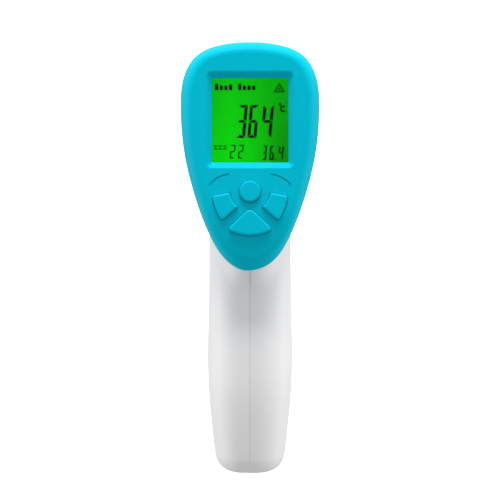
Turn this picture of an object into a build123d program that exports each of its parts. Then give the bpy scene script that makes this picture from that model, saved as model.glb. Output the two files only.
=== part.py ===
"""Pistol-grip infrared forehead thermometer, as its separate moulded, electronic and metal pieces.

Frame: +X to the user's right, +Y the way the sensor looks, +Z up. The origin is the middle of the
flat foot under the grip, on the seam between the two housing halves. All sizes are millimetres.
"""
from build123d import *
from math import copysign, cos, hypot, pi, radians, sin
import os

# ---- driving dimensions ----------------------------------------------------------------------
TILT = 12.0                      # lean of the display face from the vertical, in degrees
FACE_FOOT = (0.0, -19.5, 72.7)   # where the plane of the display face passes the tip of the chin
FACE_DEPTH = 8.5                 # display face to the joint between faceplate and housing
CHIN_DEPTH = 6.0                 # how far back from the face the faceplate is at its widest
PLATE_WALL = 2.2                 # moulded wall of the faceplate
PLATE_ROUND = 3.0                # rounding of the faceplate's front edge
ROLL_R = 70.0                    # radius with which the face rolls away towards the chin
ROLL_START = 22.0                # height up the face below which it does
WALL = 2.2                       # moulded wall of the housing
SEAM_GAP = 0.12                  # width of the visible parting line
SEAM_DEPTH = 0.25
BASE_ROUND = 6.0                 # rounding round the foot of the grip
NECK_ROUND = 8.5                 # rounding where the head meets the grip
NOSE_Z = 118.2                   # height of the sensor's axis
HOUSING_FRONT = 50.0             # front face of the housing halves
NOSE_FRONT = 56.5                # front face of the nose ring
NOSE_R = 17.6                    # outer radius of the nose
NOSE_BORE_R = 12.5               # clear bore of the nose ring
BAY_TILT = 11.3                  # lean of the batteries and of the battery door, in degrees
CELL_R = 5.2
CELL_LENGTH = 43.5               # without the positive button
CELL_X = 5.3                     # each cell's axis from the middle
BAY_LOW = 2.3                    # bottom and top contacts of the bay, up the bay
BAY_HIGH = 49.8
DOOR_SPLIT = 4.2                 # from the cells' axes to the joint between door and housing
DOOR_TOP = 52.0                  # upper edge of the battery door, up the bay
DOOR_HINGE = (13.6, 7.2)         # Y, Z of the battery door's hinge
DOOR_GAP = 0.25
HINGE_R = 1.1
HINGE_IN = 4.2                   # half length of the door's knuckle
HINGE_OUT = 6.0                  # outer ends of the housing's two ears
TRIGGER_PIVOT = (21.0, 90.7)     # Y, Z of the trigger's pin
TRIGGER_HALF = 5.1               # half of the trigger's width
TRIGGER_UNDER_R = 28.6           # underside of the trigger, about its pin
TRIGGER_SLOT = (-29.1, -1.5)     # its slot in the grip, from below the pin to just under it
TRIGGER_SWITCH = -10.0           # the trigger's switch and spring, from the pin
TRIGGER_SPRING = -21.5
ROUND_KEY = (3.70, 26.5)         # its radius and its height up the face
KEY_RISE = 1.3                   # how far the keys stand out of the face
KEY_GAP = 0.15                   # gap round each key
KEY_FLANGE = 0.6                 # lip behind the face that keeps a key in
WINDOW_MID = 51.1                # middle of the display, above the chin
WINDOW = (26.2, 29.0)            # clear opening of the display
BOARD = (-10.1, -8.5)            # back and front of the main board, from the face
BOARD_POSTS = [(17.4, 62.0), (-17.4, 62.0), (14.2, 31.0), (-14.2, 31.0)]
SWITCH_HALF = 2.6                # half width of a key's switch
SWITCH_TOP = -5.0
STEM_TOP = -4.3
LUG_HALF = 2.4                   # half width of the faceplate's two lugs
TOP_LUG = (72.2, 12.0)           # their screws: height up the face, depth behind it
CHIN_LUG = (8.0, 11.6)
SCREW_SEAT = 6.0                 # x of the face under each case screw's head
SCREW_TIP = -7.0
SCREW_HEAD_R = 2.3
SCREW_SHANK_R = 1.3
SCREW_THREAD_R = 1.05

# Right half of the faceplate's outline, from the chin's tip up to the crown: (half width, height).
PLATE_OUTLINE = [(0, 0), (7.9, 3.3), (13.6, 11.6), (19.1, 26.0), (22.9, 42.6), (23.8, 55.0),
                 (22.7, 66.6), (18.5, 73.7), (9.7, 77.6), (0, 78.5)]
# Sections of the grip: (height, half width, rear Y, front Y).
GRIP = [(0, 11.4, -14.6, 13.6), (10, 12.7, -15.6, 15.2), (20, 13.8, -15.6, 17.6),
        (35, 14.7, -14.2, 21.6), (54.2, 14.5, -8.8, 26.2), (70.2, 14.3, -5.4, 27.4),
        (88.2, 14.0, -4.0, 27.0), (102.2, 13.0, -3.0, 26.0)]
GRIP_POWER = 2.5                 # squareness of the grip's sections: 2 is an ellipse
SECTION_POINTS = 16

FACE = Plane(origin=FACE_FOOT, x_dir=(1, 0, 0),
             z_dir=(0, -cos(radians(TILT)), sin(radians(TILT))))


# ---- helpers ---------------------------------------------------------------------------------
def slab(x0, x1, y0, y1, z0, z1):
    """A box between two corners."""
    return Pos((x0 + x1) / 2, (y0 + y1) / 2, (z0 + z1) / 2) * Box(x1 - x0, y1 - y0, z1 - z0)


def rod_x(y, z, radius, x0, x1):
    """A cylinder along X from x0 to x1."""
    centred = Rot(0, 90, 0) * Cylinder(radius, x1 - x0)
    return Pos((x0 + x1) / 2, y, z) * centred


def rod_y(x, z, radius, y0, y1):
    """A cylinder along Y from y0 to y1."""
    centred = Rot(90, 0, 0) * Cylinder(radius, y1 - y0)
    return Pos(x, (y0 + y1) / 2, z) * centred


def rod_z(x, y, radius, z0, z1):
    """A cylinder along Z from z0 to z1."""
    return Pos(x, y, (z0 + z1) / 2) * Cylinder(radius, z1 - z0)


def mirrored(right):
    """A closed ring of points from its right half, whose first and last points are on the axis."""
    return right + [(-x, y) for x, y in right[-2:0:-1]]


def inset(points, distance):
    """Moves each point of an anticlockwise ring inwards. distance is a number or a function of y."""
    moved = []
    for i, (x, y) in enumerate(points):
        (ax, ay), (bx, by) = points[i - 1], points[(i + 1) % len(points)]
        length = hypot(bx - ax, by - ay)
        by_how_much = distance(y) if callable(distance) else distance
        moved.append((x - (by - ay) / length * by_how_much, y + (bx - ax) / length * by_how_much))
    return moved


def smooth_face(points):
    """A face inside one closed smooth curve."""
    return make_face(Spline(*points, periodic=True))


def ellipse_ring(half_x, half_y, mid_y, power, count):
    """Points of a squared-off ellipse, anticlockwise from its lowest point."""
    ring = []
    for i in range(count):
        angle = 2 * pi * i / count - pi / 2
        c, s = cos(angle), sin(angle)
        ring.append((half_x * copysign(abs(c) ** (2 / power), c),
                     mid_y + half_y * copysign(abs(s) ** (2 / power), s)))
    return ring


def rounded_block(width, height, corner, mid, z0, z1):
    """A block with rounded corners on the display face's axis, from z0 to z1."""
    return Pos(0, mid, z0) * extrude(RectangleRounded(width, height, corner), z1 - z0)


# ---- housing ---------------------------------------------------------------------------------
def grip(wall, foot=0.0):
    """The grip's solid, inset by wall, standing on z = foot."""
    sections = []
    for z, half_width, rear, front in GRIP:
        ring = ellipse_ring(half_width - wall, (front - rear) / 2 - wall, (front + rear) / 2,
                            GRIP_POWER, SECTION_POINTS)
        sections.append(Plane.XY.offset(max(z, foot)) * smooth_face(ring))
    return loft(sections)


def head(wall):
    """The head's solid, inset by wall: an egg behind the faceplate that draws in to a round nose."""
    joint = FACE.offset(-FACE_DEPTH) * smooth_face(inset(mirrored(PLATE_OUTLINE), 0.6 + wall))
    middle_plane = Plane(origin=(0, 6, FACE_FOOT[2]), x_dir=(1, 0, 0),
                         z_dir=(0, -cos(radians(7)), sin(radians(7))))
    shrunk = [(0.93 * x, 8.0 + 0.80 * t) for x, t in PLATE_OUTLINE]
    middle = middle_plane * smooth_face(inset(mirrored(shrunk), wall))
    count = len(mirrored(PLATE_OUTLINE))
    throat = ellipse_ring(19.0 - wall, 20.8 - wall, 0, 2, count)
    nose = ellipse_ring(NOSE_R - wall, NOSE_R - wall, 0, 2, count)
    upright = Plane(origin=(0, 0, NOSE_Z), x_dir=(1, 0, 0), z_dir=(0, -1, 0))
    return loft([joint, middle, upright.offset(-31) * smooth_face(throat),
                 upright.offset(-HOUSING_FRONT) * smooth_face(nose)])


def outer_form():
    """The outside of both housing halves together."""
    handle = grip(0)
    handle = fillet(handle.faces().sort_by(Axis.Z)[0].edges(), BASE_ROUND)
    form = head(0) + handle
    chin = FACE_FOOT[2]
    neck = [e for e in form.edges() if e.length > 20 and e.bounding_box().min.Z > chin
            and e.bounding_box().max.Z < chin + 26 and e.bounding_box().max.Y < 29]
    return fillet(neck, NECK_ROUND)



# ---- places shared by several pieces -----------------------------------------------------------
# Local z runs up the batteries, local y towards the battery door.
BAY = Plane(origin=(0, 1.9, 9.0), x_dir=(1, 0, 0),
            z_dir=(0, sin(radians(BAY_TILT)), cos(radians(BAY_TILT))))
HINGE_EARS = ((HINGE_IN + 0.2, HINGE_OUT), (-HINGE_OUT, -HINGE_IN - 0.2))
DOOR_FOOT = BAY.to_local_coords(Vector(0, *DOOR_HINGE)).Z


def door_region(gap):
    """The space in front of the door's joint and between its ends, made smaller by gap."""
    return BAY * slab(-30, 30, DOOR_SPLIT + gap, 40, DOOR_FOOT + gap, DOOR_TOP - gap)


def on_seam(height, depth):
    """Y and Z of a point on the seam plane, from its height up the face and depth behind it."""
    point = FACE.from_local_coords((0, height, -depth))
    return point.Y, point.Z


# (Y, Z, half the space between the two bosses). The chin screw and the top peg also go through
# the faceplate's lugs.
CASE_SCREWS = [(*on_seam(*CHIN_LUG), LUG_HALF + 0.1), (36.5, NOSE_Z - 13.5, 0.0)]
CASE_PEGS = [(*on_seam(*TOP_LUG), LUG_HALF + 0.1), (-9.0, 38.0, 0.0), (-9.6, 9.0, 0.0)]


# ---- housing ---------------------------------------------------------------------------------
def housing_halves(form):
    """The two white halves of the case."""
    inside = grip(WALL, WALL) + head(WALL)
    shell = form - inside
    for y, z, half in CASE_SCREWS + CASE_PEGS:
        shell += (rod_x(y, z, 3.2, -30, -half) + rod_x(y, z, 3.2, half, 30)) & form
    # Bulkhead for the sensor's holder, then the ribs behind the trigger and behind the batteries.
    pivot_y, pivot_z = TRIGGER_PIVOT
    shell += slab(-30, 30, 30.0, 32.0, pivot_z, 150) & form
    shell += slab(-20, 20, 12.0, 13.5, pivot_z - 27, pivot_z - 17.5) & form
    shell += slab(-20, 20, 12.6, 14.2, pivot_z - 16.5, pivot_z - 1.5) & form
    shell += slab(-20, 20, 14.2, 17.0, pivot_z - 16.5, pivot_z - 15.1) & form
    for up in (8.0, 40.0):
        shell += (BAY * slab(-20, 20, -12.0, -6.6, up, up + 1.5)) & form
    for side in (-1, 1):
        near, far = sorted((side * (TRIGGER_HALF + 0.4), side * 20))
        shell += rod_x(pivot_y, pivot_z, 3.0, near, far) & form
    shell -= rod_y(0, NOSE_Z, 8.1, 25, 35)
    shell -= rod_x(pivot_y, pivot_z, 1.52, -8.1, 8.1)
    slot_low, slot_high = TRIGGER_SLOT
    shell -= slab(-TRIGGER_HALF - 0.4, TRIGGER_HALF + 0.4, 18, 40,
                  pivot_z + slot_low, pivot_z + slot_high)
    shell -= rod_y(0, NOSE_Z, NOSE_R - WALL + 0.15, 44, 51)
    for height, depth in (TOP_LUG, CHIN_LUG):
        shell -= FACE * slab(-LUG_HALF - 0.1, LUG_HALF + 0.1, height - 2.6, height + 2.6,
                             -depth - 2.8, 0)
    shell -= door_region(0)
    for ends in HINGE_EARS:
        shell += hinge_ear(ends) & form
    shell -= rod_x(*DOOR_HINGE, HINGE_R + 0.3, -HINGE_IN, HINGE_IN)
    shell -= rod_x(*DOOR_HINGE, 0.65, -HINGE_OUT - 0.1, HINGE_OUT + 0.1)
    shell -= slab(-SEAM_GAP / 2, SEAM_GAP / 2, -60, 60, 0.6, 160) - (
        grip(SEAM_DEPTH, SEAM_DEPTH) + head(SEAM_DEPTH))
    left = shell & slab(-40, 0, -60, 80, -10, 170)
    right = shell & slab(0, 40, -60, 80, -10, 170)
    for y, z, half in CASE_SCREWS:
        left -= rod_x(y, z, SCREW_THREAD_R + 0.05, SCREW_TIP - 1.5, 1)
        right -= rod_x(y, z, SCREW_SHANK_R + 0.15, -1, SCREW_SEAT + 1)
        right -= rod_x(y, z, SCREW_HEAD_R + 0.3, SCREW_SEAT, 40)
    for y, z, half in CASE_PEGS:
        left += rod_x(y, z, 1.3, -half - 1, half + 3.0)
        right -= rod_x(y, z, 1.4, -1, half + 3.4)
    return left, right


# ---- battery door ----------------------------------------------------------------------------
def hinge_ear(ends):
    """One of the housing's ears that the door's stubs turn in."""
    y, z = DOOR_HINGE
    return rod_x(y, z, HINGE_R, *ends) + slab(*ends, y - HINGE_R, y + HINGE_R, z - 2.2, z)


def battery_door(form):
    """The lid on the front of the grip, with its knuckle, stubs, finger ridges and catch."""
    y, z = DOOR_HINGE
    door = (form - grip(WALL, WALL)) & door_region(DOOR_GAP)
    door -= rod_x(y, z, HINGE_R + 0.3, -30, 30)
    for ends in HINGE_EARS:
        door -= slab(ends[0] - 0.2, ends[1] + 0.2, y - HINGE_R - 2, y + 6, z - 4, z + HINGE_R + 0.3)
    door += rod_x(y, z, HINGE_R, -HINGE_IN, HINGE_IN)
    door += slab(-HINGE_IN, HINGE_IN, y - HINGE_R, y + HINGE_R * 0.8, z, z + 2.4)
    door += rod_x(y, z, 0.6, -HINGE_OUT, HINGE_OUT)
    # Slits either side of the springy catch, and the ridges a thumb pushes on.
    for side in (-1, 1):
        near, far = sorted((side * 4.6, side * 5.2))
        door -= BAY * slab(near, far, 8, 30, DOOR_TOP - 9, DOOR_TOP + 1)
    for i in range(4):
        ridge = BAY * slab(-3.6, 3.6, 8, 30, DOOR_TOP - 8.0 + 1.8 * i, DOOR_TOP - 7.1 + 1.8 * i)
        door += ridge & (grip(-0.45) - grip(WALL / 2, WALL))
    return door


# ---- faceplate and keys ------------------------------------------------------------------------
def edge_inset(height):
    """How far the front of the faceplate is drawn in: a rolled band at the chin, little above."""
    if height < 14:
        return 1.3 + 5.0 * (1 - max(0.0, height) / 14) ** 2
    return 1.3 + min(1.0, (height - 14) / 28)


def sag(height):
    """How far the rolled lower face lies behind the flat one."""
    return max(0.0, ROLL_START - height) ** 2 / (2 * ROLL_R)


def plate_form(wall):
    """The faceplate's solid, inset by wall, its face flat above and rolling away below."""
    widest = inset(mirrored(PLATE_OUTLINE), wall)
    front = inset(widest, edge_inset)
    upper = loft([Plane.XY.offset(-CHIN_DEPTH) * smooth_face(widest),
                  Plane.XY.offset(-wall) * smooth_face(front)])
    back = FACE_DEPTH + (1.0 if wall else 0.0)
    plate = upper + extrude(Plane.XY.offset(-back) * smooth_face(widest), back - CHIN_DEPTH)
    return plate & (rod_x(ROLL_START, -ROLL_R, ROLL_R - wall, -40, 40)
                    + slab(-40, 40, ROLL_START, 100, -40, -wall))


def round_key_face():
    return Pos(0, ROUND_KEY[1]) * Circle(ROUND_KEY[0])


def side_key_face():
    """Outline of the right key: an inner arc round the round key, an outer one along the plate."""
    outline = [Line((6.8, 26.1), (12.9, 24.9)),
               ThreePointArc((12.9, 24.9), (11.8, 20.9), (9.6, 16.4)),
               Line((9.6, 16.4), (4.1, 21.2)),
               ThreePointArc((4.1, 21.2), (6.1, 23.6), (6.8, 26.1))]
    blank = make_face(outline)
    rounded = [blank.vertices().sort_by(Axis.X)[-1], blank.vertices().sort_by(Axis.Y)[0]]
    return fillet(rounded, 0.8)


def bottom_key_face():
    """Outline of the bottom key: a fan with its point towards the round key."""
    blank = make_face([Polyline((-7.8, 13.5), (0, 21.1), (7.8, 13.5)),
                       ThreePointArc((7.8, 13.5), (0, 11.4), (-7.8, 13.5))])
    blank = fillet(blank.vertices().sort_by(Axis.Y)[-1], 2.0)
    return fillet(blank.vertices().group_by(Axis.Y)[0], 1.0)


# Each key: its outline, and where its switch sits (x, height up the face).
KEYS = {
    "round_key": (round_key_face(), (0, ROUND_KEY[1])),
    "right_key": (side_key_face(), (8.7, 22.0)),
    "left_key": (mirror(side_key_face(), about=Plane.YZ), (-8.7, 22.0)),
    "bottom_key": (bottom_key_face(), (0, 16.1)),
}


def faceplate():
    """The turquoise front: display well, four key wells, two grooves, posts and lugs."""
    plate = plate_form(0)
    flat = plate.faces().sort_by(Axis.Z)[-1]
    rolled = plate.faces().filter_by(GeomType.CYLINDER).sort_by(SortBy.AREA)[-1]
    crease = flat.edges().filter_by(GeomType.LINE)[0]
    rim = [e for e in flat.edges() + rolled.edges() if abs(e.center().Y - crease.center().Y) > 0.5]
    plate = fillet(rim, PLATE_ROUND)
    plate -= loft([Pos(0, WINDOW_MID) * RectangleRounded(WINDOW[0] + 3.7, WINDOW[1] + 4.1, 1.9),
                   Pos(0, WINDOW_MID, -2) * RectangleRounded(*WINDOW, 0.4)], ruled=True)
    rim = plate.faces().sort_by(Axis.Z)[-1].inner_wires()[0]
    plate = fillet(rim.edges(), 0.9)
    plate -= plate_form(PLATE_WALL)
    plate -= rounded_block(*WINDOW, 0.4, WINDOW_MID, -3, -1.9)
    for outline, _ in KEYS.values():
        plate -= Pos(0, 0, -4) * extrude(offset(outline, KEY_GAP), 5)
    for side in (-1, 1):
        arc = ThreePointArc((side * 13.8, 28.8), (side * 11.2, 31.1), (side * 7.2, 32.4))
        plate -= Pos(0, 0, -0.45) * extrude(trace(arc, 0.5), 2)
    # Rim that holds the window, posts for the board, lugs for the case screws.
    rim = rounded_block(30.6, 33.4, 1.2, WINDOW_MID, -3.7, -PLATE_WALL)
    plate += rim - rounded_block(28.3, 31.1, 0.6, WINDOW_MID, -3.8, -PLATE_WALL)
    for x, height in BOARD_POSTS:
        plate += rod_z(x, height, 1.8, BOARD[1], -PLATE_WALL)
        plate -= rod_z(x, height, 0.92, BOARD[1] - 0.1, -4)
    for (height, depth), front in ((TOP_LUG, -2.0), (CHIN_LUG, -3.2)):
        lug = slab(-LUG_HALF, LUG_HALF, height - 2.4, height + 2.4, -depth - 2.4, front)
        plate += lug - rod_x(height, -depth, SCREW_SHANK_R + 0.15, -5, 5)
    return FACE * plate


def key(name):
    """A key cap: a raised top with soft edges, a lip behind the face and a foot on the switch."""
    outline, (x, height) = KEYS[name]
    box = outline.bounding_box()
    top = KEY_RISE - sag(box.center().Y)
    lip = -PLATE_WALL - 0.15 - sag(box.min.Y - KEY_GAP - KEY_FLANGE)
    cap = Pos(0, 0, lip) * extrude(outline, top - lip)
    cap = fillet(cap.faces().sort_by(Axis.Z)[-1].edges(), 0.75)
    cap += Pos(0, 0, lip - 0.8) * extrude(offset(outline, KEY_GAP + KEY_FLANGE), 0.8)
    cap += rod_z(x, height, 2.0, STEM_TOP, lip - 0.4)
    return FACE * cap


def switch_stem(name):
    x, height = KEYS[name][1]
    return FACE * rod_z(x, height, 1.5, STEM_TOP - 2.9, STEM_TOP)


def switch_case(name):
    """The fixed part of a key's switch, with the bore its stem slides in and four legs."""
    x, height = KEYS[name][1]
    outline = RectangleRounded(2 * SWITCH_HALF, 2 * SWITCH_HALF, 0.4)
    case = Pos(x, height, BOARD[1]) * extrude(outline, SWITCH_TOP - BOARD[1])
    case -= rod_z(x, height, 1.6, BOARD[1] + 0.3, SWITCH_TOP + 1)
    for dx in (-1, 1):
        for dy in (-1, 1):
            leg = slab(-0.3, 0.3, -0.4, 0.4, BOARD[1], BOARD[1] + 0.3)
            case += Pos(x + dx * (SWITCH_HALF + 0.2), height + dy * 1.6, 0) * leg
    return FACE * case


# ---- display ---------------------------------------------------------------------------------
def display():
    """Window, gasket, liquid crystal cell, light guide, holder and the elastomer strip."""
    mid = WINDOW_MID
    window = rounded_block(28.1, 30.9, 0.5, mid, -3.2, -PLATE_WALL)
    gasket = rounded_block(28.1, 30.9, 0.5, mid, -3.7, -3.2)
    gasket -= rounded_block(26.6, 29.4, 0.3, mid, -4, -3)
    cell = rounded_block(27.6, 30.4, 0.2, mid, -4.6, -3.7)
    cell += slab(-13.5, 13.5, mid - 14.2, mid + 15.2, -5.5, -4.6)
    light = slab(-13.3, 13.3, mid - 11.6, mid + 15.0, -8.0, -5.5)
    strip = slab(-12.6, 12.6, mid - 14.0, mid - 12.2, BOARD[1], -5.5)
    holder = rounded_block(31.0, 33.0, 1.0, mid, BOARD[1], -4.0)
    holder -= slab(-13.9, 13.9, mid - 15.3, mid + 15.3, -4.7, -3.5)
    holder -= slab(-13.6, 13.6, mid - 14.3, mid + 15.3, -9, -4.5)
    return {"display_window": FACE * window, "display_gasket": FACE * gasket,
            "lcd_cell": FACE * cell, "lcd_light_guide": FACE * light,
            "elastomer_strip": FACE * strip, "lcd_holder": FACE * holder}


# ---- main board --------------------------------------------------------------------------------
def main_board():
    """The board behind the faceplate, with its screw holes."""
    outline = extrude(smooth_face(inset(mirrored(PLATE_OUTLINE), 4.2)), BOARD[1] - BOARD[0])
    board = Pos(0, 0, BOARD[0]) * outline & slab(-30, 30, 13.4, 68.2, -12, 0)
    for x, height in BOARD_POSTS:
        board -= rod_z(x, height, 1.05, -12, 0)
    return FACE * board


def board_screws():
    """Four small screws through the board into the faceplate's posts."""
    screws = []
    for x, height in BOARD_POSTS:
        screw = rod_z(x, height, 1.7, BOARD[0] - 1.1, BOARD[0])
        screw += rod_z(x, height, 0.87, BOARD[0], -5.5)
        for turn in (0, 90):
            screw -= Pos(x, height, BOARD[0] - 1.0) * Rot(0, 0, turn) * Box(2.2, 0.5, 1.0)
        screws.append(FACE * screw)
    return Compound(children=screws)


def board_parts():
    """What is soldered to the back of the main board."""
    back = BOARD[0]
    chip = slab(-5, 5, 43, 53, back - 1.5, back - 0.15)
    for i in range(8):
        for x in (-5.0, 5.0):
            chip += slab(x - 0.6, x + 0.6, 44.5 + i, 44.85 + i, back - 0.6, back)
    capacitors = []
    for x, height in ((-9.5, 40.0), (-9.5, 43.0), (9.5, 50.0), (9.5, 53.0), (-9.5, 55.0)):
        block = slab(x - 1.0, x + 1.0, height - 0.6, height + 0.6, back - 1.0, back)
        capacitors.append(FACE * block)
    socket = slab(-4.5, 4.5, 58, 62, back - 4.0, back) - slab(-3.9, 3.9, 58.6, 61.4, back - 5, back - 1)
    buzzer = rod_z(8.0, 32.0, 4.5, back - 3.2, back) - rod_z(8.0, 32.0, 0.9, back - 4, back - 1)
    crystal = rounded_block(4.6, 2.0, 0.95, 0, back - 1.8, back)
    return {"processor": FACE * chip, "capacitors": Compound(children=capacitors),
            "sensor_socket": FACE * socket, "buzzer": FACE * buzzer,
            "crystal": FACE * Pos(-8.5, 48.5, 0) * crystal}


# ---- sensor ------------------------------------------------------------------------------------
def turned(profile):
    """A body of revolution about the sensor's axis from (Y, radius) points."""
    outline = make_face(Polyline(*[(radius, y) for y, radius in profile], close=True))
    return Pos(0, 0, NOSE_Z) * revolve(Plane.XY * outline, Axis.Y)


def nose_ring():
    front = NOSE_FRONT
    ring = turned([(44.4, NOSE_BORE_R), (44.4, 15.4), (HOUSING_FRONT, 15.4), (HOUSING_FRONT, NOSE_R),
                   (front, NOSE_R - 0.5), (front, NOSE_BORE_R)])
    rims = ring.faces().sort_by(Axis.Y)[-1].edges().sort_by(SortBy.RADIUS)
    ring = fillet(rims[1], 1.8)
    rims = ring.faces().sort_by(Axis.Y)[-1].edges().sort_by(SortBy.RADIUS)
    return fillet(rims[0], 0.9)


def sensor():
    """Reflector cup, holder, thermopile and its small board, all about the sensor's axis."""
    cup = turned([(40.0, 2.6), (40.0, 7.5), (41.2, 7.5), (41.2, 4.2), (46.0, 7.6), (52.0, 11.0),
                  (52.0, 12.45), (53.2, 12.45), (53.2, 10.6), (46.4, 6.8), (42.0, 3.6)])
    holder = turned([(29.0, 7.2), (29.0, 8.0), (32.0, 8.0), (32.0, 10.0), (34.0, 10.0), (34.0, 8.4),
                     (40.0, 8.4), (40.0, 5.3), (33.0, 5.3), (33.0, 4.0), (31.0, 4.0), (31.0, 7.2)])
    can = turned([(33.5, 3.8), (33.0, 3.8), (33.0, 5.2), (33.5, 5.2), (33.5, 4.2), (39.6, 4.2),
                  (39.6, 1.6), (39.2, 1.6), (39.2, 3.8)])
    header = turned([(33.0, 0), (33.0, 3.8), (34.2, 3.8), (34.2, 0)])
    lens = turned([(38.7, 0), (38.7, 2.4), (39.2, 2.4), (39.2, 0)])
    board = turned([(29.6, 0), (29.6, 7.0), (30.6, 7.0), (30.6, 0)])
    chip = slab(-1.0, 1.0, 34.2, 34.6, NOSE_Z - 1.0, NOSE_Z + 1.0)
    legs = []
    for i in range(4):
        angle = pi / 4 + i * pi / 2
        x, z = 2.54 * cos(angle), NOSE_Z + 2.54 * sin(angle)
        board -= rod_y(x, z, 0.35, 29, 32)
        header -= rod_y(x, z, 0.24, 30, 36)
        legs.append(rod_y(x, z, 0.23, 28.6, 35.0))
    return {"reflector_cup": cup, "sensor_holder": holder, "thermopile_can": can,
            "thermopile_header": header, "thermopile_window": lens, "sensor_board": board,
            "thermopile_chip": chip, "thermopile_legs": Compound(children=legs)}


# ---- trigger -----------------------------------------------------------------------------------
def trigger():
    """The finger lever under the nose: hub on a pin, curved front, hollow back and a nib."""
    half = TRIGGER_HALF
    front = Spline((5.3, -2.2), (9.6, -8.0), (11.6, -16.0), (10.6, -23.5), (8.4, -29.5))
    side = make_face([front, Polyline((8.4, -29.5), (-0.8, -29.5), (-0.8, -2.2), (5.3, -2.2))])
    lever = Pos(half, 0, 0) * extrude(Plane.YZ * side, -2 * half)
    lever &= rod_x(0, 0, TRIGGER_UNDER_R, -20, 20)
    bulge = [e for e in lever.edges() if e.bounding_box().max.Y > 10 and e.length > 15]
    lever = fillet(bulge, 1.8)
    lever -= slab(-3.5, 3.5, -6, 6.8, -26.1, -11.9)
    lever += slab(-2.0, 2.0, -2.6, 1, TRIGGER_SWITCH - 1.2, TRIGGER_SWITCH + 1.2)
    lever += rod_x(0, 0, 2.6, -half, half)
    lever += slab(-half, half, -0.8, 2.4, -4.5, 0)
    lever += rod_y(0, TRIGGER_SPRING, 1.3, 5.0, 7.0)
    return Pos(0, *TRIGGER_PIVOT) * (lever - rod_x(0, 0, 1.55, -10, 10))


def coil(axis_y, height, radius, wire, turns):
    """A coil spring along Y from axis_y, ending height further on."""
    path = Helix(pitch=height / turns, height=height, radius=radius)
    start = Plane(origin=path @ 0, z_dir=path % 0)
    return Pos(0, axis_y, 0) * Rot(-90, 0, 0) * sweep(start * Circle(wire), path)


def trigger_group():
    y, z = TRIGGER_PIVOT
    switch = z + TRIGGER_SWITCH
    board = slab(-6.5, 6.5, 14.2, 15.0, z - 15, z - 1)
    case = slab(-3, 3, 15.0, 16.8, switch - 3, switch + 3) - rod_y(0, switch, 1.6, 15.1, 18)
    return {"trigger": trigger(), "trigger_pin": rod_x(y, z, 1.5, -8.0, 8.0),
            "trigger_spring": Pos(0, 0, z + TRIGGER_SPRING) * coil(13.9, 13.5, 2.1, 0.3, 7),
            "trigger_board": board, "trigger_switch": case,
            "trigger_switch_stem": rod_y(0, switch, 1.45, 16.25, 18.1)}


# ---- batteries ---------------------------------------------------------------------------------
def cell(x, positive_up):
    """One AAA cell with its button."""
    low = BAY_HIGH - 1.0 - CELL_LENGTH if positive_up else BAY_LOW + 1.0
    body = rod_z(x, 0, CELL_R, low, low + CELL_LENGTH)
    body = fillet(body.edges(), 0.5)
    button = (BAY_HIGH - 1.2, BAY_HIGH) if positive_up else (BAY_LOW, BAY_LOW + 1.2)
    return BAY * (body + rod_z(x, 0, 1.9, *button))


def battery_tray():
    """The moulded tray behind the cells, with end walls for the contacts and a middle rib."""
    tray = slab(-11.4, 11.4, -6.6, -5.4, BAY_LOW - 1.5, BAY_HIGH + 1.5)
    tray += slab(-11.4, 11.4, -6.0, 4.0, BAY_LOW - 1.5, BAY_LOW - 0.3)
    tray += slab(-11.4, 11.4, -6.0, 4.0, BAY_HIGH + 0.3, BAY_HIGH + 1.5)
    rib = Polyline((-1.6, -5.6), (1.6, -5.6), (0, -2.6), close=True)
    tray += Pos(0, 0, BAY_LOW + 4) * extrude(make_face(rib), BAY_HIGH - BAY_LOW - 8)
    return BAY * tray & grip(WALL + 0.15, WALL + 0.15)


def contact_spring(x, low, high):
    """A cone-shaped coil between a cell's flat end and the tray."""
    path = Helix(pitch=(high - low - 0.5) / 3.5, height=high - low - 0.5, radius=2.6)
    start = Plane(origin=path @ 0, z_dir=path % 0)
    return BAY * Pos(x, 0, low + 0.25) * sweep(start * Circle(0.25), path)


def contacts():
    """Contact plates at both ends of the bay, and the coils that press on the cells."""
    plate = slab(-3.6, 3.6, -4.0, 3.6, 0, 0.3)
    low, high = BAY_LOW, BAY_HIGH
    spring_low = contact_spring(-CELL_X, low, high - 1.0 - CELL_LENGTH)
    spring_high = contact_spring(CELL_X, low + 1.0 + CELL_LENGTH, high)
    bridge = slab(-CELL_X - 3.6, CELL_X + 3.6, -4.0, 3.6, low - 0.3, low)
    return {"battery_bridge": BAY * bridge,
            "positive_contact": BAY * Pos(-CELL_X, 0, high) * plate,
            "negative_contact": BAY * Pos(CELL_X, 0, high) * plate,
            "battery_springs": Compound(children=[spring_low, spring_high])}


# ---- wires and case screws -------------------------------------------------------------------
def wire(points, radius, bend):
    """A round wire along straight runs joined by arcs of radius bend."""
    path = FilletPolyline(*points, radius=bend)
    return sweep(Plane(origin=path @ 0, z_dir=path % 0) * Circle(radius), path)


def behind_board(x, height, depth):
    """A point behind the main board, depth from its back."""
    return tuple(FACE.from_local_coords((x, height, BOARD[0] - depth)))


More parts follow.
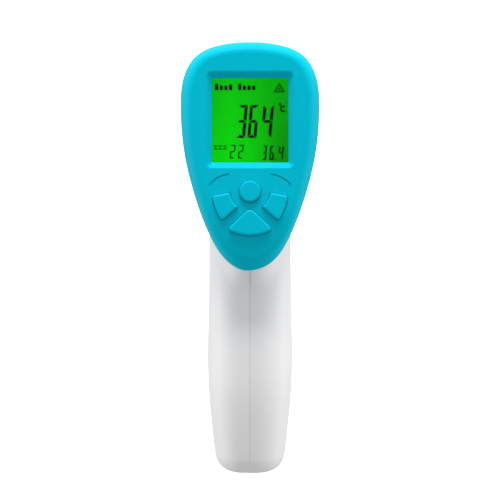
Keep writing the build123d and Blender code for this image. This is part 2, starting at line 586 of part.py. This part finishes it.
def wires():
    """Leads from the batteries, the sensor and the trigger's switch to the main board."""
    shapes = {}
    for name, side in (("battery_lead_red", -1), ("battery_lead_black", 1)):
        tray_end = tuple(BAY.from_local_coords((side * CELL_X, -2.0, BAY_HIGH + 1.6)))
        shapes[name] = wire([tray_end, (side * 6.5, 9.0, 67.0), (side * 6.0, 2.0, 75.0),
                             behind_board(side * 3.0, 17.5, 0.3)], 0.45, 5.0)
    sensor_runs = []
    for x in (-2.4, 0.0, 2.4):
        sensor_runs.append(wire([(x, 28.5, NOSE_Z), (1.4 * x, 18.0, NOSE_Z + 1),
                                 behind_board(1.1 * x, 60.0, 10.0), behind_board(1.1 * x, 60.0, 1.1)],
                                0.4, 6.0))
    shapes["sensor_wires"] = Compound(children=sensor_runs)
    trigger_runs = []
    for x in (-4.0, 4.0):
        trigger_runs.append(wire([(x, 14.6, 89.8), (x, 12.6, 94.7), (x, 3.0, 95.7),
                                  behind_board(x, 24.0, 0.1)], 0.4, 2.5))
    shapes["trigger_wires"] = Compound(children=trigger_runs)
    return shapes


def case_screws():
    """The two screws that draw the halves together, their heads sunk in the right half."""
    screws = []
    for y, z, _ in CASE_SCREWS:
        screw = rod_x(y, z, SCREW_HEAD_R, SCREW_SEAT, SCREW_SEAT + 1.8)
        screw += rod_x(y, z, SCREW_SHANK_R, 0.2, SCREW_SEAT)
        screw += rod_x(y, z, SCREW_THREAD_R, SCREW_TIP, 0.2)
        for turn in (0, 90):
            screw -= Pos(SCREW_SEAT + 1.8, y, z) * Rot(turn, 0, 0) * Box(1.8, 2.8, 0.6)
        screws.append(screw)
    return Compound(children=screws)


# ---- assembly --------------------------------------------------------------------------------
FORM = outer_form()
LEFT, RIGHT = housing_halves(FORM)
NODES = {"left_housing": LEFT, "right_housing": RIGHT, "faceplate": faceplate(),
         "nose_ring": nose_ring(), "battery_door": battery_door(FORM)}
NODES |= display()
for key_name in KEYS:
    NODES[key_name] = key(key_name)
    NODES[f"{key_name}_stem"] = switch_stem(key_name)
    NODES[f"{key_name}_switch"] = switch_case(key_name)
NODES |= {"main_board": main_board(), "board_screws": board_screws(), "case_screws": case_screws()}
NODES |= board_parts()
NODES |= sensor()
NODES |= trigger_group()
NODES |= {"battery_tray": battery_tray(), "battery_left": cell(-CELL_X, True),
          "battery_right": cell(CELL_X, False)}
NODES |= contacts()
NODES |= wires()

os.makedirs("parts", exist_ok=True)
for name, shape in NODES.items():
    export_step(shape, f"parts/{name}.step")
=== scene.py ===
from math import cos, pi, radians, sin
import bmesh
import bpy
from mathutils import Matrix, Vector


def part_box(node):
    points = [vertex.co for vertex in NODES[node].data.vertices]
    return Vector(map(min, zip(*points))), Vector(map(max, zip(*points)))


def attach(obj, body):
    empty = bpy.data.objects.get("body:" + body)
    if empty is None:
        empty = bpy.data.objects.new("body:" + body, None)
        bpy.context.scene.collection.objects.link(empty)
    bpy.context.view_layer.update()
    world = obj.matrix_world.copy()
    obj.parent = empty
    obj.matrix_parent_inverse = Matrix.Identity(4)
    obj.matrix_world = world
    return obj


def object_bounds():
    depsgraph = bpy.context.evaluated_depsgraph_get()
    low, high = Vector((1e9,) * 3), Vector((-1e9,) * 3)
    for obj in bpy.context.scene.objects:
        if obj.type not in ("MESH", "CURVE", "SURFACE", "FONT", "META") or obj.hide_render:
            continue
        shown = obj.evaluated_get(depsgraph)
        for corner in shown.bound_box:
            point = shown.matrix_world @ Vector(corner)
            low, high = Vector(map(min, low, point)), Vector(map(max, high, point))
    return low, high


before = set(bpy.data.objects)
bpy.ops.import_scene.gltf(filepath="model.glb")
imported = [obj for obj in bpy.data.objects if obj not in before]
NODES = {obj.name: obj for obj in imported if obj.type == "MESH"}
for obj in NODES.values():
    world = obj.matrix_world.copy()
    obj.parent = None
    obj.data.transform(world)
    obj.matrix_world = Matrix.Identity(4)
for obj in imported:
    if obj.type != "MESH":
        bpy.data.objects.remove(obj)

CAD_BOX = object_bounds()
MM = 0.001


# ---- material helpers --------------------------------------------------------------------------
def new_material(name):
    """An empty node material with one shader, and its nodes, links and shader."""
    mat = bpy.data.materials.new(name)
    mat.use_nodes = True
    nodes = mat.node_tree.nodes
    nodes.clear()
    out = nodes.new("ShaderNodeOutputMaterial")
    shader = nodes.new("ShaderNodeBsdfPrincipled")
    mat.node_tree.links.new(shader.outputs[0], out.inputs[0])
    return mat, nodes, mat.node_tree.links, shader


def noise(nodes, links, coords, scale, detail):
    """A noise texture in object space, in metres."""
    tex = nodes.new("ShaderNodeTexNoise")
    tex.inputs["Scale"].default_value = scale
    tex.inputs["Detail"].default_value = detail
    links.new(coords.outputs["Object"], tex.inputs["Vector"])
    return tex.outputs["Fac"]


def ramp(nodes, links, fac, stops):
    """A colour ramp through (place, colour) stops."""
    node = nodes.new("ShaderNodeValToRGB")
    while len(node.color_ramp.elements) < len(stops):
        node.color_ramp.elements.new(0.5)
    for element, (place, colour) in zip(node.color_ramp.elements, stops):
        element.position = place
        element.color = (*colour, 1)
    links.new(fac, node.inputs["Fac"])
    return node.outputs["Color"]


def spread(nodes, links, fac, low, high):
    """The middle of a noise's range stretched to run from low to high."""
    node = nodes.new("ShaderNodeMapRange")
    node.inputs["From Min"].default_value = 0.3
    node.inputs["From Max"].default_value = 0.7
    node.inputs["To Min"].default_value = low
    node.inputs["To Max"].default_value = high
    links.new(fac, node.inputs["Value"])
    return node.outputs["Result"]


def bump(nodes, links, height, shader, distance, strength):
    """Relief on the shader's normal, with its distance in metres."""
    node = nodes.new("ShaderNodeBump")
    node.inputs["Strength"].default_value = strength
    node.inputs["Distance"].default_value = distance
    links.new(height, node.inputs["Height"])
    links.new(node.outputs["Normal"], shader.inputs["Normal"])


def scaled(colour, k):
    return tuple(min(1.0, c * k) for c in colour)


def surface(name, colour, rough, metallic=0.0, vary=0.05, grain=3000.0, depth=0.02,
            specular=0.5, cloud=60.0):
    """A moulded, cast or plated surface: slight colour and gloss changes over a fine grain."""
    mat, nodes, links, shader = new_material(name)
    coords = nodes.new("ShaderNodeTexCoord")
    soft = noise(nodes, links, coords, cloud, 3.0)
    fine = noise(nodes, links, coords, grain, 2.0)
    stops = [(0.3, scaled(colour, 1 - vary)), (0.7, scaled(colour, 1 + vary))]
    links.new(ramp(nodes, links, soft, stops), shader.inputs["Base Color"])
    links.new(spread(nodes, links, soft, rough * 0.9, rough * 1.1), shader.inputs["Roughness"])
    shader.inputs["Metallic"].default_value = metallic
    shader.inputs["Specular IOR Level"].default_value = specular
    bump(nodes, links, fine, shader, depth * MM, 0.5)
    return mat


# ---- materials of single parts -----------------------------------------------------------------
MASK_STOPS = [(0.0, (0.020, 0.155, 0.050)),     # solder mask over the copper
              (0.06, (0.016, 0.125, 0.042)),
              (0.10, (0.006, 0.062, 0.026))]    # and over the bare board

BARE_STEEL = (0.55, 0.55, 0.55)
COPPER = (0.62, 0.30, 0.11)
WRAP_STOPS = [(0.0, BARE_STEEL), (0.035, (0.016, 0.020, 0.030)), (0.70, (0.020, 0.026, 0.040)),
              (0.72, COPPER), (0.93, COPPER), (0.97, BARE_STEEL)]

# How green the lit display is from left to right, along its lower and its upper edge.
LOWER_GLOW = ((0.05, 0.60), (0.25, 0.66), (0.52, 0.55), (0.68, 0.44), (0.85, 0.27), (1.0, 0.21))
UPPER_GLOW = ((0.05, 0.43), (0.25, 0.50), (0.50, 0.47), (0.68, 0.41), (0.85, 0.37), (1.0, 0.35))
MIX_LOWER, MIX_UPPER, MIXED = 6, 7, 2           # the colour sockets of a mix node


def circuit_board():
    """Green solder mask over copper tracks."""
    mat, nodes, links, shader = new_material("solder_mask")
    coords = nodes.new("ShaderNodeTexCoord")
    tracks = nodes.new("ShaderNodeTexVoronoi")
    tracks.feature = "DISTANCE_TO_EDGE"
    tracks.inputs["Scale"].default_value = 380
    links.new(coords.outputs["Object"], tracks.inputs["Vector"])
    colour = ramp(nodes, links, tracks.outputs["Distance"], MASK_STOPS)
    links.new(colour, shader.inputs["Base Color"])
    shader.inputs["Roughness"].default_value = 0.3
    bump(nodes, links, tracks.outputs["Distance"], shader, 0.03 * MM, 0.4)
    return mat


def battery_wrap():
    """A printed foil wrap: dark body, a copper band by the button and bright steel ends."""
    mat, nodes, links, shader = new_material("battery_wrap")
    coords = nodes.new("ShaderNodeTexCoord")
    split = nodes.new("ShaderNodeSeparateXYZ")
    links.new(coords.outputs["Generated"], split.inputs[0])
    links.new(ramp(nodes, links, split.outputs["Z"], WRAP_STOPS), shader.inputs["Base Color"])
    shader.inputs["Metallic"].default_value = 0.55
    fine = noise(nodes, links, coords, 1400, 2)
    links.new(spread(nodes, links, fine, 0.24, 0.34), shader.inputs["Roughness"])
    return mat


def liquid_crystal():
    """Back-lit green, brightest at the lower left and falling off towards the lower right."""
    mat, nodes, links, shader = new_material("backlit_green")
    coords = nodes.new("ShaderNodeTexCoord")
    low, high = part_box("lcd_cell")
    across_panel = nodes.new("ShaderNodeMapping")
    across_panel.vector_type = "TEXTURE"
    across_panel.inputs["Location"].default_value = (low.x, 0, low.z)
    across_panel.inputs["Scale"].default_value = (high.x - low.x, 1.0, high.z - low.z)
    links.new(coords.outputs["Object"], across_panel.inputs["Vector"])
    split = nodes.new("ShaderNodeSeparateXYZ")
    links.new(across_panel.outputs["Vector"], split.inputs[0])
    glow = nodes.new("ShaderNodeMix")
    glow.data_type = "RGBA"
    links.new(split.outputs["Z"], glow.inputs["Factor"])
    for greens, socket in ((LOWER_GLOW, MIX_LOWER), (UPPER_GLOW, MIX_UPPER)):
        stops = [(place, (0.0028, green, 0.003)) for place, green in greens]
        links.new(ramp(nodes, links, split.outputs["X"], stops), glow.inputs[socket])
    links.new(glow.outputs[MIXED], shader.inputs["Emission Color"])
    shader.inputs["Emission Strength"].default_value = 1.0
    shader.inputs["Base Color"].default_value = (0.001, 0.02, 0.001, 1)
    shader.inputs["Roughness"].default_value = 0.6
    shader.inputs["Specular IOR Level"].default_value = 0.0
    return mat


def clear_window():
    """Clear acrylic, smooth enough to leave the marks behind it sharp."""
    mat, nodes, links, shader = new_material("clear_acrylic")
    coords = nodes.new("ShaderNodeTexCoord")
    soft = noise(nodes, links, coords, 40, 2)
    tint = ramp(nodes, links, soft, [(0.3, (0.97, 0.99, 0.98)), (0.7, (1, 1, 1))])
    links.new(tint, shader.inputs["Base Color"])
    shader.inputs["Transmission Weight"].default_value = 1.0
    shader.inputs["IOR"].default_value = 1.08
    shader.inputs["Roughness"].default_value = 0.0
    return mat


def segment_ink():
    """The near-black of a switched liquid crystal segment."""
    mat, nodes, links, shader = new_material("crystal_segments")
    coords = nodes.new("ShaderNodeTexCoord")
    fine = noise(nodes, links, coords, 1500, 2)
    ink = ramp(nodes, links, fine, [(0.3, (0.0005, 0.003, 0.001)), (0.7, (0.001, 0.005, 0.001))])
    links.new(ink, shader.inputs["Base Color"])
    shader.inputs["Roughness"].default_value = 0.6
    shader.inputs["Specular IOR Level"].default_value = 0.0
    return mat


# ---- every material ----------------------------------------------------------------------------
M = {
    "turquoise": surface("turquoise_abs", (0.0006, 0.52, 0.68), 0.38, vary=0.012, grain=2600,
                         depth=0.010, specular=0.025),
    "key": surface("turquoise_keys", (0.0006, 0.53, 0.695), 0.40, vary=0.012, grain=3400,
                   depth=0.008, specular=0.025),
    "white": surface("white_abs", (0.87, 0.873, 0.88), 0.40, vary=0.008, grain=2400,
                     depth=0.010, specular=0.12),
    "white_nylon": surface("natural_nylon", (0.80, 0.79, 0.74), 0.55, vary=0.04, grain=1800),
    "foam": surface("black_foam", (0.016, 0.016, 0.017), 0.85, vary=0.25, grain=4200,
                    depth=0.08, specular=0.2),
    "acetal": surface("black_acetal", (0.022, 0.022, 0.024), 0.38, vary=0.1),
    "tin": surface("tinned_steel", (0.62, 0.61, 0.58), 0.28, metallic=1.0, grain=1500,
                   depth=0.008),
    "steel": surface("bright_steel", (0.70, 0.70, 0.70), 0.20, metallic=1.0, vary=0.04,
                     grain=1200, depth=0.006),
    "plated_cup": surface("plated_cup", (0.76, 0.74, 0.70), 0.10, metallic=1.0, vary=0.02,
                          grain=900, depth=0.003),
    "gold": surface("gold_plate", (0.80, 0.56, 0.20), 0.22, metallic=1.0),
    "silicon": surface("coated_silicon", (0.030, 0.028, 0.040), 0.12, metallic=0.4, vary=0.2),
    "epoxy": surface("black_epoxy", (0.020, 0.020, 0.022), 0.55, vary=0.15, grain=2600),
    "ceramic": surface("capacitor_ceramic", (0.42, 0.28, 0.15), 0.50, vary=0.12),
    "red_wire": surface("red_insulation", (0.42, 0.010, 0.008), 0.42, vary=0.08),
    "black_wire": surface("black_insulation", (0.012, 0.012, 0.012), 0.42, vary=0.12),
    "pale_wire": surface("pale_insulation", (0.62, 0.60, 0.52), 0.45, vary=0.06),
    "guide": surface("light_guide", (0.55, 0.85, 0.50), 0.35, vary=0.03),
    "board": circuit_board(),
    "battery": battery_wrap(),
    "crystal_green": liquid_crystal(),
    "window": clear_window(),
    "ink": segment_ink(),
}

FINISH = {
    "white": ["left_housing", "right_housing", "battery_door"],
    "turquoise": ["faceplate", "nose_ring", "trigger"],
    "key": ["round_key", "left_key", "right_key", "bottom_key"],
    "window": ["display_window"],
    "crystal_green": ["lcd_cell"],
    "guide": ["lcd_light_guide"],
    "white_nylon": ["lcd_holder", "sensor_socket", "battery_tray"],
    "foam": ["display_gasket", "elastomer_strip"],
    "acetal": ["round_key_stem", "left_key_stem", "right_key_stem", "bottom_key_stem",
               "trigger_switch_stem", "sensor_holder", "buzzer"],
    "tin": ["round_key_switch", "left_key_switch", "right_key_switch", "bottom_key_switch",
            "trigger_switch", "crystal", "thermopile_can"],
    "steel": ["trigger_pin", "trigger_spring", "case_screws", "board_screws", "positive_contact",
              "negative_contact", "battery_bridge", "battery_springs"],
    "plated_cup": ["reflector_cup"],
    "gold": ["thermopile_header", "thermopile_legs"],
    "silicon": ["thermopile_window", "thermopile_chip"],
    "epoxy": ["processor"],
    "ceramic": ["capacitors"],
    "red_wire": ["battery_lead_red"],
    "black_wire": ["battery_lead_black"],
    "pale_wire": ["sensor_wires", "trigger_wires"],
    "board": ["main_board", "trigger_board", "sensor_board"],
    "battery": ["battery_left", "battery_right"],
}
for finish, names in FINISH.items():
    for name in names:
        NODES[name].data.materials.clear()
        NODES[name].data.materials.append(M[finish])


# ---- shapes of the display's marks -------------------------------------------------------------
# All in millimetres on the display face: x from the middle, height from the chin.
TILT = radians(12)                              # lean of the display face from the vertical
UP_FACE = Vector((0, sin(TILT), cos(TILT)))
INWARD = Vector((0, cos(TILT), -sin(TILT)))
WINDOW_MID = 51.1                               # height of the window's middle
MARKS_DEEP = 0.98                               # from that middle in to the front of the cell
WINDOW_LOW, WINDOW_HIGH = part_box("display_window")

DIGIT_LEAN = 0.09                               # sideways lean per height
RING_STEPS = 28
SEGMENTS = {"2": "abged", "3": "abgcd", "4": "fgbc", "6": "afgedc"}


def on_face(point):
    """Where a point of the display face lies in the frame, just in front of the cell."""
    along = Vector((point.x, 0, 0)) + UP_FACE * (point.y - WINDOW_MID)
    return (WINDOW_LOW + WINDOW_HIGH) / 2 + (along + INWARD * MARKS_DEEP) * MM


def digit(sign, x, height, wide, tall, thick, gap=0.02):
    """A seven-segment digit of mitred bars whose lower left corner is at x, height."""
    mid, half = tall / 2, thick * 0.45
    upper = [(0, tall - gap), (0, mid + gap), (thick * 0.5, mid + gap + thick * 0.35),
             (thick, mid + gap + thick * 0.6), (thick, tall - thick - gap)]
    lower = [(px, tall - py) for px, py in upper]
    bars = {"a": [(gap, tall), (thick + gap, tall - thick), (wide - thick - gap, tall - thick),
                  (wide - gap, tall)],
            "d": [(gap, 0), (thick + gap, thick), (wide - thick - gap, thick), (wide - gap, 0)],
            "g": [(gap, mid), (thick, mid + half), (wide - thick, mid + half), (wide - gap, mid),
                  (wide - thick, mid - half), (thick, mid - half)],
            "f": upper, "e": lower, "b": [(wide - px, py) for px, py in upper],
            "c": [(wide - px, py) for px, py in lower]}
    return [[Vector((x + px + DIGIT_LEAN * py, height + py)) for px, py in bars[letter]]
            for letter in SEGMENTS[sign]]


def ring(x, height, radius, thick, start=0.0, stop=2 * pi):
    """A flat ring or part of one, as quads."""
    inner, outer = radius - thick / 2, radius + thick / 2
    shapes = []
    for i in range(RING_STEPS):
        a, b = (start + (stop - start) * (i + k) / RING_STEPS for k in (0, 1))
        shapes.append([Vector((x + r * cos(t), height + r * sin(t)))
                       for t, r in ((a, inner), (b, inner), (b, outer), (a, outer))])
    return shapes


def disc(x, height, radius):
    """A filled disc, as one outline."""
    turns = [2 * pi * i / RING_STEPS for i in range(RING_STEPS)]
    return [Vector((x + radius * cos(t), height + radius * sin(t))) for t in turns]


def bar(x, height, wide, tall):
    """An upright rectangle whose lower left corner is at x, height."""
    return [Vector((x, height)), Vector((x + wide, height)),
            Vector((x + wide, height + tall)), Vector((x, height + tall))]


def triangle(x, height, wide, tall, thick):
    """An upright triangle drawn as three strokes, standing on height and centred on x."""
    corners = [Vector((x - wide / 2, height)), Vector((x + wide / 2, height)),
               Vector((x, height + tall))]
    centre = Vector((x, height + tall / 3))
    inner = [centre + (c - centre) * (1 - thick) for c in corners]
    return [[corners[i], corners[(i + 1) % 3], inner[(i + 1) % 3], inner[i]] for i in range(3)]


# ---- the display's marks -----------------------------------------------------------------------
READING = (("3", -4.86, 3.15), ("6", -0.97, 3.15), ("4", 3.60, 3.65))     # sign, x, width
STORED_NUMBER = (("2", -7.0, 1.7), ("2", -4.2, 1.7))
STORED_READING = (("3", 4.0, 1.5), ("6", 6.5, 1.5), ("4", 9.5, 1.75))
STORED_FOOT = 37.6
POINT = (8.35, 0.5, 0.55)                       # the stored reading's decimal point
UNIT_OPENING = 0.80                             # half the gap of the unit's C, in radians
HAZARD_X = 10.05

# Plain bars where the maker puts words. The top row leaves a space between its two groups.
WORD_TALLS = {0: 2.3, 1: 1.6, 2: 1.6, 3: 2.0, 5: 2.3, 6: 1.6, 7: 1.6, 8: 1.6}
WORD_LEFT, WORD_FOOT, WORD_STEP = -11.95, 61.6, 1.58
LABEL_LEFT, LABEL_FEET, LABEL_STEP, LABEL_TALL = -12.35, (41.2, 42.15), 1.6, 0.45
BAR_WIDE = 1.1


def display_marks():
    """Every mark on the display, as outlines."""
    marks = []
    for sign, x, wide in READING:
        marks += digit(sign, x, 45.15, wide, 11.4, 1.08, gap=0.12)
    for sign, x, wide in STORED_NUMBER:
        marks += digit(sign, x, 38.1, wide, 4.75, 0.46)
    for sign, x, wide in STORED_READING:
        marks += digit(sign, x, STORED_FOOT, wide, 4.95, 0.56)
    point_x, point_wide, point_tall = POINT
    marks.append(bar(point_x, STORED_FOOT, point_wide, point_tall))
    # Degree sign with its unit, then the hazard triangle with its dot.
    marks += ring(10.3, 56.7, 0.30, 0.40)
    marks += ring(11.35, 55.2, 0.85, 0.58, UNIT_OPENING, 2 * pi - UNIT_OPENING)
    marks += triangle(HAZARD_X, 60.9, 3.8, 3.3, 0.36)
    marks.append(disc(HAZARD_X, 61.95, 0.40))
    for i, tall in WORD_TALLS.items():
        marks.append(bar(WORD_LEFT + WORD_STEP * i, WORD_FOOT, BAR_WIDE, tall))
    for i in range(3):
        for foot in LABEL_FEET:
            marks.append(bar(LABEL_LEFT + LABEL_STEP * i, foot, BAR_WIDE, LABEL_TALL))
    return marks


def add_object(name, data):
    """A new object in the scene that shows the given mesh, light or camera."""
    made = bpy.data.objects.new(name, data)
    bpy.context.collection.objects.link(made)
    return made


marks_mesh = bpy.data.meshes.new("display_marks")
bm = bmesh.new()
for shape in display_marks():
    bm.faces.new([bm.verts.new(on_face(point)) for point in shape])
bmesh.ops.recalc_face_normals(bm, faces=bm.faces)
bm.to_mesh(marks_mesh)
bm.free()
marks = add_object("display_marks", marks_mesh)
marks.data.materials.append(M["ink"])
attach(marks, "case")


# ---- floor -------------------------------------------------------------------------------------
FLOOR_HALF = 6.0                                # metres from the middle to each edge
FLOOR_DROP = 0.0002                             # keeps it clear of the foot

corners = [(-FLOOR_HALF, -FLOOR_HALF, 0), (FLOOR_HALF, -FLOOR_HALF, 0),
           (FLOOR_HALF, FLOOR_HALF, 0), (-FLOOR_HALF, FLOOR_HALF, 0)]
floor_mesh = bpy.data.meshes.new("floor")
floor_mesh.from_pydata(corners, [], [(0, 1, 2, 3)])
floor = add_object("floor", floor_mesh)
floor.location.z = -FLOOR_DROP
paper = surface("pale_paper", (0.93, 0.93, 0.93), 0.9, vary=0.004, grain=40, depth=0.0,
                specular=0.0, cloud=2)
paper_shader = next(n for n in paper.node_tree.nodes if n.type == "BSDF_PRINCIPLED")
paper_shader.inputs["Emission Color"].default_value = (1, 1, 1, 1)
paper_shader.inputs["Emission Strength"].default_value = 1.0
floor.data.materials.append(paper)
floor.visible_diffuse = False
floor.visible_glossy = False
floor.visible_shadow = False


# ---- lights ------------------------------------------------------------------------------------
MIDDLE = (CAD_BOX[0] + CAD_BOX[1]) / 2
HIGH_LIGHT = 0.65                               # brightness of the tent straight above
LOW_LIGHT = 0.45                                # and straight below


def softbox(name, place, size, power):
    """A rectangular lamp at a place from the object's middle, turned to face it."""
    light = bpy.data.lights.new(name, "AREA")
    light.shape = "RECTANGLE"
    light.size, light.size_y = size
    light.energy = power
    lamp = add_object(name, light)
    lamp.location = MIDDLE + Vector(place)
    lamp.rotation_euler = (-Vector(place)).to_track_quat("-Z", "Y").to_euler()


softbox("overhead", (0, -0.12, 1.1), (0.7, 0.5), 12)
softbox("left", (-1.1, 0.05, 0.0), (0.5, 1.0), 4.8)
softbox("right", (1.1, 0.05, 0.0), (0.5, 1.0), 5.2)

# A tent that is brighter above than below.
world = bpy.data.worlds.new("studio")
world.use_nodes = True
sky = world.node_tree.nodes
where = sky.new("ShaderNodeTexCoord")
split = sky.new("ShaderNodeSeparateXYZ")
world.node_tree.links.new(where.outputs["Generated"], split.inputs[0])
brightness = sky.new("ShaderNodeMapRange")
brightness.inputs["From Min"].default_value = -1.0
brightness.inputs["From Max"].default_value = 1.0
brightness.inputs["To Min"].default_value = LOW_LIGHT
brightness.inputs["To Max"].default_value = HIGH_LIGHT
world.node_tree.links.new(split.outputs["Z"], brightness.inputs["Value"])
world.node_tree.links.new(brightness.outputs["Result"], sky["Background"].inputs["Strength"])
sky["Background"].inputs["Color"].default_value = (1, 1, 1, 1)


# ---- camera ------------------------------------------------------------------------------------
ELEVATION = radians(8)
DISTANCE = 1.2
FRAME_WIDTH = 0.1728                            # how much of the scene the picture spans
SENSOR_WIDTH = 36
AIM = Vector((0, 0, 0.0765))

camera = add_object("camera", bpy.data.cameras.new("camera"))
towards_camera = Vector((0, -cos(ELEVATION), sin(ELEVATION)))
camera.location = AIM + towards_camera * DISTANCE
camera.rotation_euler = (-towards_camera).to_track_quat("-Z", "Y").to_euler()
camera.data.sensor_width = SENSOR_WIDTH
camera.data.lens = SENSOR_WIDTH * DISTANCE / FRAME_WIDTH
camera.data.clip_start = 0.05

scene = bpy.context.scene
scene.world = world
scene.camera = camera
scene.view_settings.view_transform = "Standard"
